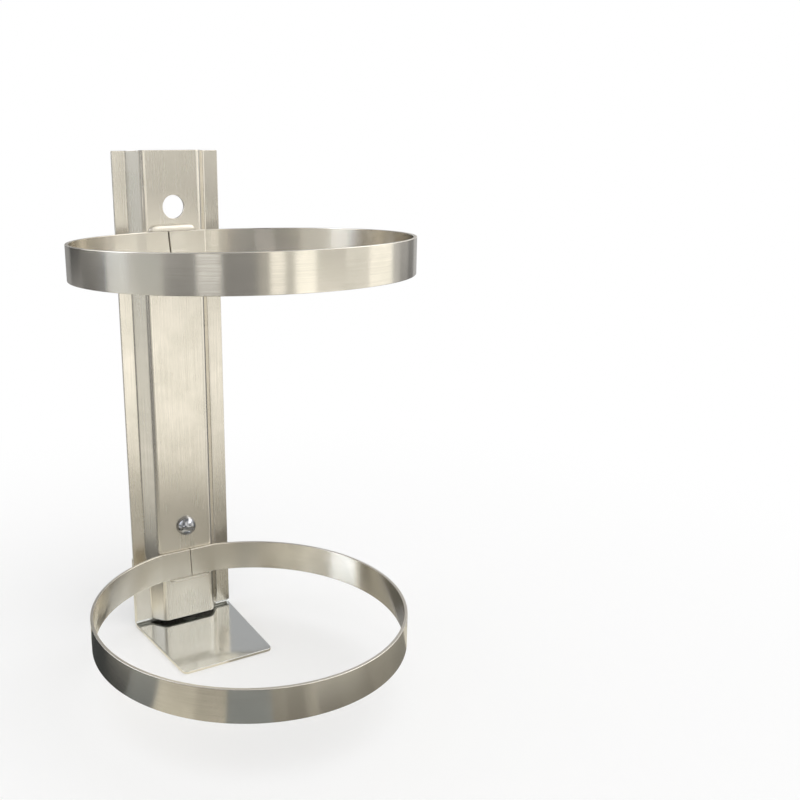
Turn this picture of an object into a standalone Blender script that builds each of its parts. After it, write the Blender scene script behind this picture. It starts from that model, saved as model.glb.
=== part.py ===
"""Wall bracket for a fire extinguisher, in welded stainless strip.

A pressed channel stands against the wall. Two flat hoops are welded to its raised face, one high
and one low, and the extinguisher slides down through both of them onto a small foot plate.

The wall is the plane y = 0 and the bracket comes forward of it, towards -Y, with +Z up. The origin
is the middle of the foot plate's back, where the foot plate's upright leg touches the wall.
Everything is in metres.
"""
import math

import bmesh
import bpy
from mathutils import Vector

# Stock and fits
SHEET = 0.0015
SEAT_GAP = 0.0003

# Pressed channel
PLATE_WIDTH = 0.057
CHANNEL_LENGTH = 0.2518
CHANNEL_DEPTH = 0.0076
FACE_WIDTH = 0.0300
FACE_OFFSET = -0.0006
WEB_RUN = 0.0056
FACE_BEND_RADIUS = 0.0032
FLANGE_BEND_RADIUS = 0.0022
SCREW_HOLE_DIAMETER = 0.0115
SCREW_HOLE_FROM_TOP = 0.0274
DRAWN_IN = 0.0021
DRAWN_IN_HEIGHT = 0.0250
DRAWING_IN_HEIGHT = 0.0140

# Foot plate
ORIGIN_HEIGHT = 0.020
FOOT_LEG_HEIGHT = 0.040
FOOT_BEND_RADIUS = 0.0014
SHELF_REACH = 0.0614
SHELF_FRONT_WIDTH = 0.050
SHELF_CORNER_RADIUS = 0.0025
CHANNEL_ABOVE_SHELF = 0.0020

# Hoops
HOOP_DIAMETER = 0.150
HOOP_BAND_HEIGHT = 0.0155
HOOP_FLAT_WIDTH = 0.0320
HOOP_CORNER_RADIUS = 0.0060
HOOP_SEAM_GAP = 0.0006
UPPER_HOOP_FROM_TOP = 0.0393
UPPER_SEAM_OFFSET = -0.0034
UPPER_SEAM_LEAN = 0.0012
LOWER_HOOP_HEIGHT = 0.0266
LOWER_SEAM_OFFSET = 0.0016
LOWER_SEAM_LEAN = 0.0006

# Weld beads
UPPER_WELD_LENGTH = 0.0250
UPPER_WELD_OFFSET = -0.0016
UPPER_WELD_RISE = 0.0030
LOWER_WELD_LENGTH = 0.0240
LOWER_WELD_OFFSET = 0.0008
LOWER_WELD_RISE = 0.0018
WELD_REACH = 0.0017

# Rivet in the lower hole
RIVET_HEIGHT = 0.0560
RIVET_HEAD_DIAMETER = 0.0108
RIVET_HEAD_RISE = 0.0048
RIVET_RIM = 0.0006
RIVET_SHANK_DIAMETER = 0.0048
RIVET_TAIL_DIAMETER = 0.0078
RIVET_TAIL_RISE = 0.0030

# Facets
BEND_STEPS = 7
HOOP_STEPS = 168
HOLE_STEPS = 48
RIVET_STEPS = 40
WELD_STEPS = 40
WELD_SECTION_STEPS = 6

# Colours, as linear values
STEEL = (0.60, 0.57, 0.52)
POLISHED_STEEL = (0.66, 0.66, 0.66)
WELD_STEEL = (0.70, 0.68, 0.64)

# Planes parallel to the wall, from the wall forwards
LEG_FRONT_Y = -SHEET
FLANGE_BACK_Y = LEG_FRONT_Y - SEAT_GAP
FLANGE_MIDDLE_Y = FLANGE_BACK_Y - SHEET / 2
FACE_MIDDLE_Y = FLANGE_MIDDLE_Y - CHANNEL_DEPTH
FACE_FRONT_Y = FACE_MIDDLE_Y - SHEET / 2
HOOP_FLAT_Y = FACE_FRONT_Y - SEAT_GAP - SHEET / 2

# Levels, from the shelf's underside upwards
SHELF_BOTTOM_Z = -ORIGIN_HEIGHT
SHELF_TOP_Z = SHELF_BOTTOM_Z + SHEET
CHANNEL_BOTTOM_Z = SHELF_TOP_Z + CHANNEL_ABOVE_SHELF
CHANNEL_TOP_Z = CHANNEL_BOTTOM_Z + CHANNEL_LENGTH
UPPER_HOOP_Z = CHANNEL_TOP_Z - UPPER_HOOP_FROM_TOP - HOOP_BAND_HEIGHT
LOWER_HOOP_Z = SHELF_TOP_Z + LOWER_HOOP_HEIGHT
SCREW_HOLE_Z = CHANNEL_TOP_Z - SCREW_HOLE_FROM_TOP
RIVET_Z = SHELF_TOP_Z + RIVET_HEIGHT


def clear_scene():
    for item in list(bpy.data.objects):
        bpy.data.objects.remove(item, do_unlink=True)


def make_material(name, colour, roughness):
    material = bpy.data.materials.new(name)
    material.use_nodes = True
    shader = material.node_tree.nodes["Principled BSDF"]
    shader.inputs["Base Color"].default_value = (*colour, 1.0)
    shader.inputs["Metallic"].default_value = 1.0
    shader.inputs["Roughness"].default_value = roughness
    return material


def add_object(name, mesh_builder, material):
    """Turns a finished bmesh into a named, smooth-shaded object."""
    bmesh.ops.recalc_face_normals(mesh_builder, faces=mesh_builder.faces)
    mesh = bpy.data.meshes.new(name)
    mesh_builder.to_mesh(mesh)
    mesh_builder.free()
    mesh.shade_smooth()
    mesh.set_sharp_from_angle(angle=math.radians(35))
    mesh.materials.append(material)
    item = bpy.data.objects.new(name, mesh)
    bpy.context.collection.objects.link(item)
    return item


def rounded_path(corners, radius_at):
    """Points along a folded line, with an arc of the given centreline radius at each inner corner."""
    points = [Vector(corners[0])]
    for index, radius in enumerate(radius_at, start=1):
        corner = Vector(corners[index])
        before = (Vector(corners[index - 1]) - corner).normalized()
        after = (Vector(corners[index + 1]) - corner).normalized()
        half_angle = before.angle(after) / 2
        centre = corner + (before + after).normalized() * (radius / math.sin(half_angle))
        start = corner + before * (radius / math.tan(half_angle)) - centre
        end = corner + after * (radius / math.tan(half_angle)) - centre
        for step in range(BEND_STEPS + 1):
            points.append(centre + start.slerp(end, step / BEND_STEPS).normalized() * radius)
    points.append(Vector(corners[-1]))
    return points


def offset_points(points, distance):
    """The same path moved sideways by a distance, mitred at each point so the wall keeps its thickness."""
    directions = [(after - before).normalized() for before, after in zip(points, points[1:])]
    moved = []
    for index, point in enumerate(points):
        before = directions[max(index - 1, 0)]
        after = directions[min(index, len(directions) - 1)]
        normal = Vector((-(before + after).y, (before + after).x)).normalized()
        stretch = normal.dot(Vector((-after.y, after.x)))
        moved.append(point + normal * (distance / stretch))
    return moved


def strip_along(points, thickness, place, rise):
    """A strip of even thickness along a flat path, placed in space and pushed out by the rise vector."""
    builder = bmesh.new()
    left = [builder.verts.new(place(point)) for point in offset_points(points, thickness / 2)]
    right = [builder.verts.new(place(point)) for point in offset_points(points, -thickness / 2)]
    rows = list(zip(left, right))
    faces = [builder.faces.new((a, b, d, c)) for (a, b), (c, d) in zip(rows, rows[1:])]
    pushed = bmesh.ops.extrude_face_region(builder, geom=faces)["geom"]
    raised = [item for item in pushed if isinstance(item, bmesh.types.BMVert)]
    bmesh.ops.translate(builder, verts=raised, vec=rise)
    return builder


def draw_in_left_web(builder):
    """Narrows the raised section at its foot: the left web leans inwards behind the lower hoop."""
    full = CHANNEL_BOTTOM_Z + DRAWN_IN_HEIGHT
    none = full + DRAWING_IN_HEIGHT
    for height in (full, none):
        bmesh.ops.bisect_plane(builder, geom=builder.verts[:] + builder.edges[:] + builder.faces[:],
                               dist=1e-7, plane_co=(0, 0, height), plane_no=(0, 0, 1))
    web_starts = FACE_OFFSET - FACE_WIDTH / 2 - WEB_RUN - FLANGE_BEND_RADIUS
    for vert in builder.verts:
        if vert.co.z < full + SEAT_GAP and web_starts < vert.co.x < FACE_OFFSET:
            vert.co.x += DRAWN_IN


def add_cutter(name, builder):
    cutter = add_object(name, builder, make_material(name, STEEL, 1.0))
    cutter.hide_render = True
    cutter.display_type = "WIRE"
    return cutter


def add_round_cutter(name, diameter, height):
    """A cylinder through the channel's face at a height, for a hole."""
    builder = bmesh.new()
    bmesh.ops.create_cone(builder, cap_ends=True, segments=HOLE_STEPS, radius1=diameter / 2,
                          radius2=diameter / 2, depth=CHANNEL_DEPTH)
    cutter = add_cutter(name, builder)
    cutter.location = (0.0, FACE_MIDDLE_Y, height)
    cutter.rotation_euler = (math.radians(90), 0.0, 0.0)
    return cutter


def use_boolean(item, cutter, operation):
    modifier = item.modifiers.new(cutter.name, "BOOLEAN")
    modifier.operation = operation
    modifier.solver = "EXACT"
    modifier.object = cutter


def build_back_channel(material):
    """One pressed sheet: flat flanges to the wall, sloping webs and a raised face with its holes."""
    edge = PLATE_WIDTH / 2
    left = FACE_OFFSET - FACE_WIDTH / 2
    right = FACE_OFFSET + FACE_WIDTH / 2
    corners = [(-edge, FLANGE_MIDDLE_Y), (left - WEB_RUN, FLANGE_MIDDLE_Y), (left, FACE_MIDDLE_Y),
               (right, FACE_MIDDLE_Y), (right + WEB_RUN, FLANGE_MIDDLE_Y), (edge, FLANGE_MIDDLE_Y)]
    radii = [FLANGE_BEND_RADIUS, FACE_BEND_RADIUS, FACE_BEND_RADIUS, FLANGE_BEND_RADIUS]
    section = rounded_path(corners, radii)
    builder = strip_along(section, SHEET, lambda p: (p.x, p.y, CHANNEL_BOTTOM_Z), (0, 0, CHANNEL_LENGTH))
    draw_in_left_web(builder)
    channel = add_object("back_channel", builder, material)
    rivet_hole = RIVET_SHANK_DIAMETER + 2 * SEAT_GAP
    use_boolean(channel, add_round_cutter("screw_hole_cutter", SCREW_HOLE_DIAMETER, SCREW_HOLE_Z), "DIFFERENCE")
    use_boolean(channel, add_round_cutter("rivet_hole_cutter", rivet_hole, RIVET_Z), "DIFFERENCE")


def shelf_outline():
    """The foot plate seen from above: full width at the wall, narrower at its rounded front corners."""
    back = PLATE_WIDTH / 2
    front = SHELF_FRONT_WIDTH / 2
    straight_until = FLANGE_BACK_Y - SHEET
    corners = [(back, SHEET), (back, straight_until), (front, -SHELF_REACH), (-front, -SHELF_REACH),
               (-back, straight_until), (-back, SHEET)]
    radii = [SHELF_CORNER_RADIUS] * 4
    return rounded_path(corners, radii)


def build_foot_shelf(material):
    """An L of sheet: an upright leg behind the channel's flanges and a shelf that carries the cylinder."""
    shelf_middle_z = SHELF_BOTTOM_Z + SHEET / 2
    leg_middle_y = -SHEET / 2
    corners = [(leg_middle_y, SHELF_BOTTOM_Z + FOOT_LEG_HEIGHT), (leg_middle_y, shelf_middle_z),
               (-SHELF_REACH - SHEET, shelf_middle_z)]
    profile = rounded_path(corners, [FOOT_BEND_RADIUS + SHEET / 2])
    builder = strip_along(profile, SHEET, lambda p: (-PLATE_WIDTH / 2 - SHEET, p.x, p.y),
                          (PLATE_WIDTH + 2 * SHEET, 0, 0))
    foot = add_object("foot_shelf", builder, material)

    trim = bmesh.new()
    base = [trim.verts.new((p.x, p.y, SHELF_BOTTOM_Z - SHEET)) for p in shelf_outline()]
    pushed = bmesh.ops.extrude_face_region(trim, geom=[trim.faces.new(base)])["geom"]
    raised = [item for item in pushed if isinstance(item, bmesh.types.BMVert)]
    bmesh.ops.translate(trim, verts=raised, vec=(0, 0, FOOT_LEG_HEIGHT + 2 * SHEET))
    use_boolean(foot, add_cutter("shelf_outline_trim", trim), "INTERSECT")


def hoop_path(seam_offset):
    """The hoop's centreline from above: a circle whose back is flattened to sit on the channel's face."""
    radius = (HOOP_DIAMETER - SHEET) / 2
    chord = math.sqrt(radius ** 2 - (HOOP_FLAT_WIDTH / 2) ** 2)
    centre = Vector((0.0, HOOP_FLAT_Y - chord))
    corner_x = math.sqrt((radius - HOOP_CORNER_RADIUS) ** 2 - (chord - HOOP_CORNER_RADIUS) ** 2)
    corner_centre = Vector((corner_x, chord - HOOP_CORNER_RADIUS))
    join_angle = math.atan2(corner_centre.y, corner_centre.x)

    right_corner = []
    for step in range(BEND_STEPS + 1):
        angle = math.pi / 2 + (join_angle - math.pi / 2) * step / BEND_STEPS
        right_corner.append(corner_centre + HOOP_CORNER_RADIUS * Vector((math.cos(angle), math.sin(angle))))
    round_part = []
    for step in range(1, HOOP_STEPS):
        angle = join_angle - (math.pi + 2 * join_angle) * step / HOOP_STEPS
        round_part.append(radius * Vector((math.cos(angle), math.sin(angle))))
    left_corner = [Vector((-point.x, point.y)) for point in reversed(right_corner)]

    seam_right = Vector((seam_offset + HOOP_SEAM_GAP / 2, chord))
    seam_left = Vector((seam_offset - HOOP_SEAM_GAP / 2, chord))
    around = [seam_right] + right_corner + round_part + left_corner + [seam_left]
    return [centre + point for point in around]


def build_hoop(name, bottom_z, seam_offset, seam_lean, material):
    """One strip bent round to a hoop, its two ends meeting in an open seam on the channel's face.

    The strip's ends were sheared by hand, so the seam leans: its top lies further left by seam_lean.
    """
    path = hoop_path(seam_offset)
    builder = strip_along(path, SHEET, lambda p: (p.x, p.y, bottom_z), (0, 0, HOOP_BAND_HEIGHT))
    middle_z = bottom_z + HOOP_BAND_HEIGHT / 2
    for vert in builder.verts:
        if abs(vert.co.x - seam_offset) < HOOP_SEAM_GAP and abs(vert.co.y - HOOP_FLAT_Y) < SHEET:
            vert.co.x -= seam_lean * (vert.co.z - middle_z) / HOOP_BAND_HEIGHT
    add_object(name, builder, material)


def weld_section(rise):
    """A bulging quarter-round from the corner: along the face for rise, along the band's edge for reach."""
    points = [(0.0, 0.0)]
    for step in range(WELD_SECTION_STEPS + 1):
        angle = math.pi / 2 * step / WELD_SECTION_STEPS
        points.append((WELD_REACH * math.cos(angle), rise * math.sin(angle)))
    return points


def build_weld(name, offset, length, rise, corner_z, side, material):
    """A fillet bead on the face beside a hoop's edge, above it for side 1 and below it for side -1."""
    builder = bmesh.new()
    corner_y = FACE_FRONT_Y - SEAT_GAP
    start_z = corner_z + side * SEAT_GAP
    rings = []
    for step in range(WELD_STEPS + 1):
        angle = math.pi * (step + 0.5) / (WELD_STEPS + 1)
        from_end = length / 2 * (1 - abs(math.cos(angle)))
        fullness = math.sqrt(1 - (1 - min(from_end / rise, 1.0)) ** 2)
        x = offset - length / 2 * math.cos(angle)
        rings.append([builder.verts.new((x, corner_y - reach * fullness, start_z + side * up * fullness))
                      for reach, up in weld_section(rise)])
    for first, second in zip(rings, rings[1:]):
        for index in range(len(first)):
            following = (index + 1) % len(first)
            builder.faces.new((first[index], first[following], second[following], second[index]))
    builder.faces.new(rings[0])
    builder.faces.new(rings[-1])
    add_object(name, builder, material)


def rivet_profile():
    """Half the rivet's section as (radius, distance in front of the face): dome, rim, shank and tail."""
    head = RIVET_HEAD_DIAMETER / 2
    shank = RIVET_SHANK_DIAMETER / 2
    tail = RIVET_TAIL_DIAMETER / 2
    dome_rise = RIVET_HEAD_RISE - RIVET_RIM
    sphere = (head ** 2 + dome_rise ** 2) / (2 * dome_rise)
    widest = math.asin(head / sphere)
    dome_steps = 10
    points = []
    for step in range(dome_steps + 1):
        angle = widest * step / dome_steps
        points.append((sphere * math.sin(angle), SEAT_GAP + RIVET_HEAD_RISE - sphere * (1 - math.cos(angle))))
    behind = -(SHEET + SEAT_GAP)
    points += [(head, SEAT_GAP), (shank, SEAT_GAP), (shank, behind), (tail, behind)]
    tail_steps = 6
    for step in range(1, tail_steps + 1):
        angle = math.pi / 2 * step / tail_steps
        points.append((tail * math.cos(angle), behind - RIVET_TAIL_RISE * math.sin(angle)))
    return points


def build_rivet(material):
    """A dome-head rivet, turned from its half section about its own axis."""
    builder = bmesh.new()
    verts = [builder.verts.new((radius, FACE_FRONT_Y - forward, RIVET_Z))
             for radius, forward in rivet_profile()]
    edges = [builder.edges.new(pair) for pair in zip(verts, verts[1:])]
    bmesh.ops.spin(builder, geom=verts + edges, cent=(0, 0, RIVET_Z), axis=(0, 1, 0),
                   angle=math.tau, steps=RIVET_STEPS, use_merge=True)
    bmesh.ops.remove_doubles(builder, verts=builder.verts, dist=1e-6)
    add_object("face_rivet", builder, material)


def build_bracket():
    clear_scene()
    steel = make_material("brushed_stainless", STEEL, 0.28)
    polished = make_material("polished_stainless", POLISHED_STEEL, 0.08)
    weld = make_material("weld_metal", WELD_STEEL, 0.30)
    build_back_channel(steel)
    build_foot_shelf(polished)
    build_hoop("upper_hoop", UPPER_HOOP_Z, UPPER_SEAM_OFFSET, UPPER_SEAM_LEAN, steel)
    build_hoop("lower_hoop", LOWER_HOOP_Z, LOWER_SEAM_OFFSET, LOWER_SEAM_LEAN, steel)
    upper_edge_z = UPPER_HOOP_Z + HOOP_BAND_HEIGHT
    build_weld("upper_hoop_weld", UPPER_WELD_OFFSET, UPPER_WELD_LENGTH, UPPER_WELD_RISE, upper_edge_z, 1, weld)
    build_weld("lower_hoop_weld", LOWER_WELD_OFFSET, LOWER_WELD_LENGTH, LOWER_WELD_RISE, LOWER_HOOP_Z, -1, weld)
    build_rivet(polished)


build_bracket()
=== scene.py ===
# %% [markdown]
# # A stainless bracket for a fire extinguisher
#
# The real object is sheet metal work: a pressed channel that goes on the wall, two hoops bent from
# flat strip and welded to it, and a small foot plate under the lower hoop. All of it is stainless
# steel, so almost nothing of its look comes from paint or texture. It comes from thin, even sheet
# with soft folds, and from what the metal mirrors.
#
# The measured solids are loaded first. They fix where everything is, and each piece built below
# stands exactly where its solid stands.

# %% Load the measured frame
import math

import bmesh
import bpy
from mathutils import Matrix, Vector


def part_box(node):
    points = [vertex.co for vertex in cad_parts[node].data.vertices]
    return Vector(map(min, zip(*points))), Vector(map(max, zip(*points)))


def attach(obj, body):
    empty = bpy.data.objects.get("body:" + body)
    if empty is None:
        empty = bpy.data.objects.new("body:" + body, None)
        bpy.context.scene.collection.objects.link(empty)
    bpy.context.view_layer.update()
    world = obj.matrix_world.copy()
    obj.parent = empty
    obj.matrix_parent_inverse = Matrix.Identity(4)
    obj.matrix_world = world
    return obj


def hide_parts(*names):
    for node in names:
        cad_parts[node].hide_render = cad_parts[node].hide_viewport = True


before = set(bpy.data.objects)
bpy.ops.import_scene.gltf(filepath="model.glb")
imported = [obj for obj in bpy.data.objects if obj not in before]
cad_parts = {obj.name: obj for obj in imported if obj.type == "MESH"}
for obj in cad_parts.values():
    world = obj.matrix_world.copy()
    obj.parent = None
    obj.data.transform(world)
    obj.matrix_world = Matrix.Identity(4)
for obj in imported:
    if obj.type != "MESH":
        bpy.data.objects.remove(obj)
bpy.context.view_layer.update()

print("solids:", ", ".join(sorted(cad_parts)))

# %% [markdown]
# ## Units, colours and nodes
#
# Lengths are written in millimetres and multiplied by MM. Colours are written as the hex values that
# a colour picker shows, and one function turns them into the linear values that Blender's sockets
# take. Every shader below is wired by one small function: its options are keywords, and each input
# gets either a plain value or the socket that feeds it.

# %% Helpers for units, colours and nodes
MM = 0.001


def linear(hex_colour):
    """An sRGB hex colour as linear red, green, blue and alpha."""
    channels = [int(hex_colour[start:start + 2], 16) / 255 for start in (1, 3, 5)]
    return [c / 12.92 if c <= 0.04045 else ((c + 0.055) / 1.055) ** 2.4 for c in channels] + [1.0]


def add_node(tree, kind, inputs=None, **options):
    """Adds one node with its options, and fills or links its inputs."""
    node = tree.nodes.new(kind)
    for name, value in options.items():
        setattr(node, name, value)
    for socket, value in (inputs or {}).items():
        if isinstance(value, bpy.types.NodeSocket):
            tree.links.new(value, node.inputs[socket])
        else:
            node.inputs[socket].default_value = value
    return node


def new_material(name):
    """An empty node material with its output, ready to be wired."""
    material = bpy.data.materials.new(name)
    material.use_nodes = True
    material.node_tree.nodes.clear()
    return material, material.node_tree


print("the mid grey #808080 is", round(linear("#808080")[0], 3), "in linear light")

# %% [markdown]
# ## The camera
#
# The photograph looks a little down on the bracket from its left. A camera was fitted to the outlines
# of both hoops, to the channel's folds and to the shelf, and the result is written out here. The
# bracket stands left of the middle of the picture, which is what the small sideways shift is for.

# %% Camera
EYE = (-0.17747, -0.43519, 0.22189)
YAW, PITCH, ROLL = -26.572, 14.011, -1.304
FOCAL_LENGTH = 40.33
SENSOR_WIDTH = 36.0
SIDEWAYS_SHIFT = 0.2
CLIP_START, CLIP_END = 0.01, 50.0

camera_data = bpy.data.cameras.new("photo_camera")
camera_data.lens = FOCAL_LENGTH
camera_data.sensor_width = SENSOR_WIDTH
camera_data.shift_x = SIDEWAYS_SHIFT
camera_data.clip_start = CLIP_START
camera_data.clip_end = CLIP_END
camera = bpy.data.objects.new("photo_camera", camera_data)
bpy.context.scene.collection.objects.link(camera)
camera.matrix_world = (Matrix.Translation(EYE) @ Matrix.Rotation(math.radians(YAW), 4, "Z")
                       @ Matrix.Rotation(math.radians(90 - PITCH), 4, "X")
                       @ Matrix.Rotation(math.radians(ROLL), 4, "Z"))
bpy.context.scene.camera = camera
bpy.context.scene.view_settings.view_transform = "Standard"
print("camera stands", round(Vector(EYE).length, 3), "m from the bracket's origin")

# %% [markdown]
# ## Following a sheet with one point
#
# Every sheet piece here is a flat strip that was folded. So each one starts as a single vertex that is
# carried along the middle of the sheet: a straight run is an extrusion, and a fold is a spin about the
# centre of its bend. The line is then extruded into a surface. Writing the faces out by hand would
# give the same shape, but this way the numbers are the ones that a press brake would be set to.

# %% Tools for folded sheet
SHEET = 1.5 * MM
STEPS_PER_FOLD = 12


def run_straight(sheet, tip, heading, distance):
    """Carries the tip straight ahead."""
    tip = bmesh.ops.extrude_vert_indiv(sheet, verts=[tip])["verts"][0]
    bmesh.ops.translate(sheet, verts=[tip], vec=heading * distance)
    return tip


def run_bend(sheet, tip, heading, radius, angle, steps=STEPS_PER_FOLD):
    """Carries the tip round a bend, to the left for a positive angle, and turns the heading with it."""
    side = Vector((-heading.y, heading.x, 0.0)) * math.copysign(radius, angle)
    spun = bmesh.ops.spin(sheet, geom=[tip], cent=tip.co + side, axis=(0, 0, 1), angle=angle,
                          steps=steps, use_merge=False)
    tip = [item for item in spun["geom_last"] if isinstance(item, bmesh.types.BMVert)][0]
    return tip, Matrix.Rotation(angle, 3, "Z") @ heading


def push_out(sheet, distance):
    """Extrudes the whole line into a wall."""
    pushed = bmesh.ops.extrude_edge_only(sheet, edges=sheet.edges[:])["geom"]
    moved = [item for item in pushed if isinstance(item, bmesh.types.BMVert)]
    bmesh.ops.translate(sheet, verts=moved, vec=distance)


print("sheet and strip are", round(SHEET / MM, 2), "mm thick, folded in", STEPS_PER_FOLD, "steps a fold")

# %% [markdown]
# ## From a bare surface to a finished piece
#
# A surface has no thickness yet. Solidify gives it the sheet's, a bevel gives its cut edges the slight
# rounding that shearing and deburring leave, and weighted normals keep the flats shaded flat beside
# the round folds. They stay as modifiers, so the sheet could still be made thicker or sharper. The
# grain map is a UV map in metres that tells the materials which way the sheet was rolled, so that a
# pattern can follow the metal round a bend at its real size.

# %% Tools for finished pieces
CUT_EDGE_ROUNDING = 0.28 * MM
CUT_EDGE_SEGMENTS = 3
SHARP_ANGLE = math.radians(40)
FLATS_WEIGHT = 80


def lay_grain_map(sheet, along, across):
    """A UV map in metres: u runs along the rolling grain and v across it."""
    layer = sheet.loops.layers.uv.new("grain")
    for face in sheet.faces:
        for loop in face.loops:
            loop[layer].uv = (along(loop.vert.co), across(loop.vert.co))


def make_piece(name, builder, node, slot, *materials):
    """Turns a finished bmesh into the visible piece that stands for one solid."""
    mesh = bpy.data.meshes.new(name)
    builder.to_mesh(mesh)
    builder.free()
    mesh.shade_smooth()
    for material in materials:
        mesh.materials.append(material)
    piece = bpy.data.objects.new(name, mesh)
    bpy.context.scene.collection.objects.link(piece)
    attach(piece, "root")
    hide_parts(node)
    return piece


def thicken(piece):
    """Gives a sheet its thickness, rounds its cut edges, and keeps its flats shaded flat.

    The piece's second material goes on the rim, because a sheared edge is duller than the sheet.
    """
    wall = piece.modifiers.new("sheet", "SOLIDIFY")
    wall.thickness = SHEET
    wall.offset = 0.0
    wall.use_even_offset = True
    wall.material_offset_rim = 1
    edges = piece.modifiers.new("deburred edges", "BEVEL")
    edges.width = CUT_EDGE_ROUNDING
    edges.segments = CUT_EDGE_SEGMENTS
    edges.limit_method = "ANGLE"
    edges.angle_limit = SHARP_ANGLE
    piece.modifiers.new("flat flats", "WEIGHTED_NORMAL").weight = FLATS_WEIGHT
    mesh = piece.evaluated_get(bpy.context.evaluated_depsgraph_get()).data
    print(piece.name, "has", len(mesh.polygons), "faces")


print("cut edges are rounded by", round(CUT_EDGE_ROUNDING / MM, 2), "mm")

# %% [markdown]
# ## Brushed stainless
#
# The strip is cold-rolled stainless steel that was polished along its length with a fine belt. The
# belt leaves very fine parallel lines. Across the lines the metal scatters light, and along them it
# stays nearly a mirror. On the hoops the lines run round the hoop, so a reflection smears up and down
# and keeps crisp upright edges: that is where the upright light and dark bands come from. The shader
# gets this from anisotropy, with its tangent taken from the grain map. The channel's sheet was cut
# with its grain across it, so it smears the same way. The press then drew it lengthwise and left faint
# upright streaks, so there the drawn lines are turned by a quarter.
#
# Real belt lines are about 0.05 mm wide, too fine to show at this distance. They are drawn about
# 0.6 mm wide and 50 mm long, and faint. Wider, soft clouds stand for the uneven polish and for the
# smears of handling. Both change the colour and the roughness a little, and the lines also lift the
# surface by a thousandth of a millimetre or less.

# %% Brushed stainless
STEEL_COLOUR = "#e3ddd2"
STEEL_CLOUD_COLOUR = "#dad5c9"
STEEL_LINE_COLOUR = "#cfc9bd"
LINE_WIDTH = 0.6 * MM
LINE_LENGTH = 50 * MM
CLOUD_SIZE = 18 * MM
CLOUD_ROUGHNESS = 0.015
LINE_ROUGHNESS = 0.02

# reflections smear across the lines, a quarter of a turn from the tangent
SMEAR_TURN = 0.25

# a noise's values crowd round a half, so the parts of its range that are used are given here
WHOLE_NOISE = (0.3, 0.7)
CLOUD_NOISE = (0.36, 0.64)
LINE_NOISE, STRONGEST_LINE = (0.40, 0.80), 0.5


def brushed_stainless(name, sheen_roughness, stretch, line_height, turned=False):
    """Belt-polished stainless steel, with its lines along or, if turned, across its grain map."""
    material, tree = new_material(name)
    grain = add_node(tree, "ShaderNodeUVMap", uv_map="grain")
    along, across = 1 / LINE_LENGTH, 1 / LINE_WIDTH
    line_scale = (across, along, 1.0) if turned else (along, across, 1.0)
    lines_at = add_node(tree, "ShaderNodeMapping", {"Vector": grain.outputs["UV"], "Scale": line_scale})
    lines = add_node(tree, "ShaderNodeTexNoise", {
        "Vector": lines_at.outputs["Vector"], "Scale": 1.0, "Detail": 3.0, "Roughness": 0.6})
    clouds_at = add_node(tree, "ShaderNodeMapping", {
        "Vector": grain.outputs["UV"], "Scale": (1 / CLOUD_SIZE, 1 / CLOUD_SIZE, 1.0)})
    clouds = add_node(tree, "ShaderNodeTexNoise", {
        "Vector": clouds_at.outputs["Vector"], "Scale": 1.0, "Detail": 4.0, "Roughness": 0.6})
    cloudiness = add_node(tree, "ShaderNodeMapRange", {
        "Value": clouds.outputs["Fac"], "From Min": CLOUD_NOISE[0], "From Max": CLOUD_NOISE[1]})
    lininess = add_node(tree, "ShaderNodeMapRange", {
        "Value": lines.outputs["Fac"], "From Min": LINE_NOISE[0], "From Max": LINE_NOISE[1],
        "To Max": STRONGEST_LINE})
    clouded = add_node(tree, "ShaderNodeMix", {
        "Factor": cloudiness.outputs["Result"],
        "A": linear(STEEL_COLOUR), "B": linear(STEEL_CLOUD_COLOUR)}, data_type="RGBA")
    colour = add_node(tree, "ShaderNodeMix", {
        "Factor": lininess.outputs["Result"],
        "A": clouded.outputs["Result"], "B": linear(STEEL_LINE_COLOUR)}, data_type="RGBA")
    cloud_roughness = add_node(tree, "ShaderNodeMapRange", {
        "Value": clouds.outputs["Fac"], "From Min": WHOLE_NOISE[0], "From Max": WHOLE_NOISE[1],
        "To Min": sheen_roughness - CLOUD_ROUGHNESS, "To Max": sheen_roughness + CLOUD_ROUGHNESS})
    line_roughness = add_node(tree, "ShaderNodeMapRange", {
        "Value": lines.outputs["Fac"], "From Min": WHOLE_NOISE[0], "From Max": WHOLE_NOISE[1],
        "To Min": -LINE_ROUGHNESS, "To Max": LINE_ROUGHNESS})
    roughness = add_node(tree, "ShaderNodeMath", {
        0: cloud_roughness.outputs["Result"], 1: line_roughness.outputs["Result"]}, operation="ADD")
    relief = add_node(tree, "ShaderNodeBump", {
        "Height": lines.outputs["Fac"], "Strength": 1.0, "Distance": line_height})
    tangent = add_node(tree, "ShaderNodeTangent", direction_type="UV_MAP", uv_map="grain")
    shader = add_node(tree, "ShaderNodeBsdfPrincipled", {
        "Base Color": colour.outputs["Result"], "Metallic": 1.0, "Roughness": roughness.outputs["Value"],
        "Anisotropic": stretch, "Anisotropic Rotation": SMEAR_TURN, "Normal": relief.outputs["Normal"],
        "Tangent": tangent.outputs["Tangent"]})
    add_node(tree, "ShaderNodeOutputMaterial", {"Surface": shader.outputs["BSDF"]})
    return material


hoop_steel = brushed_stainless("belt_polished_stainless_strip", sheen_roughness=0.22, stretch=0.9,
                               line_height=0.001 * MM)
channel_steel = brushed_stainless("rolled_stainless_sheet", sheen_roughness=0.26, stretch=0.85,
                                  line_height=0.0003 * MM, turned=True)
print("brushed finishes:", hoop_steel.name, "and", channel_steel.name)

# %% [markdown]
# ## Sheared edges
#
# A shear leaves the cut edge of a sheet duller than its faces: one part is smeared smooth, the rest is
# torn and finely grainy, and deburring dulls both. Seen from the front it is the thin pale line round
# every piece. The grit that shows is about 0.3 mm, so one noise of that size drives the roughness.

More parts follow.
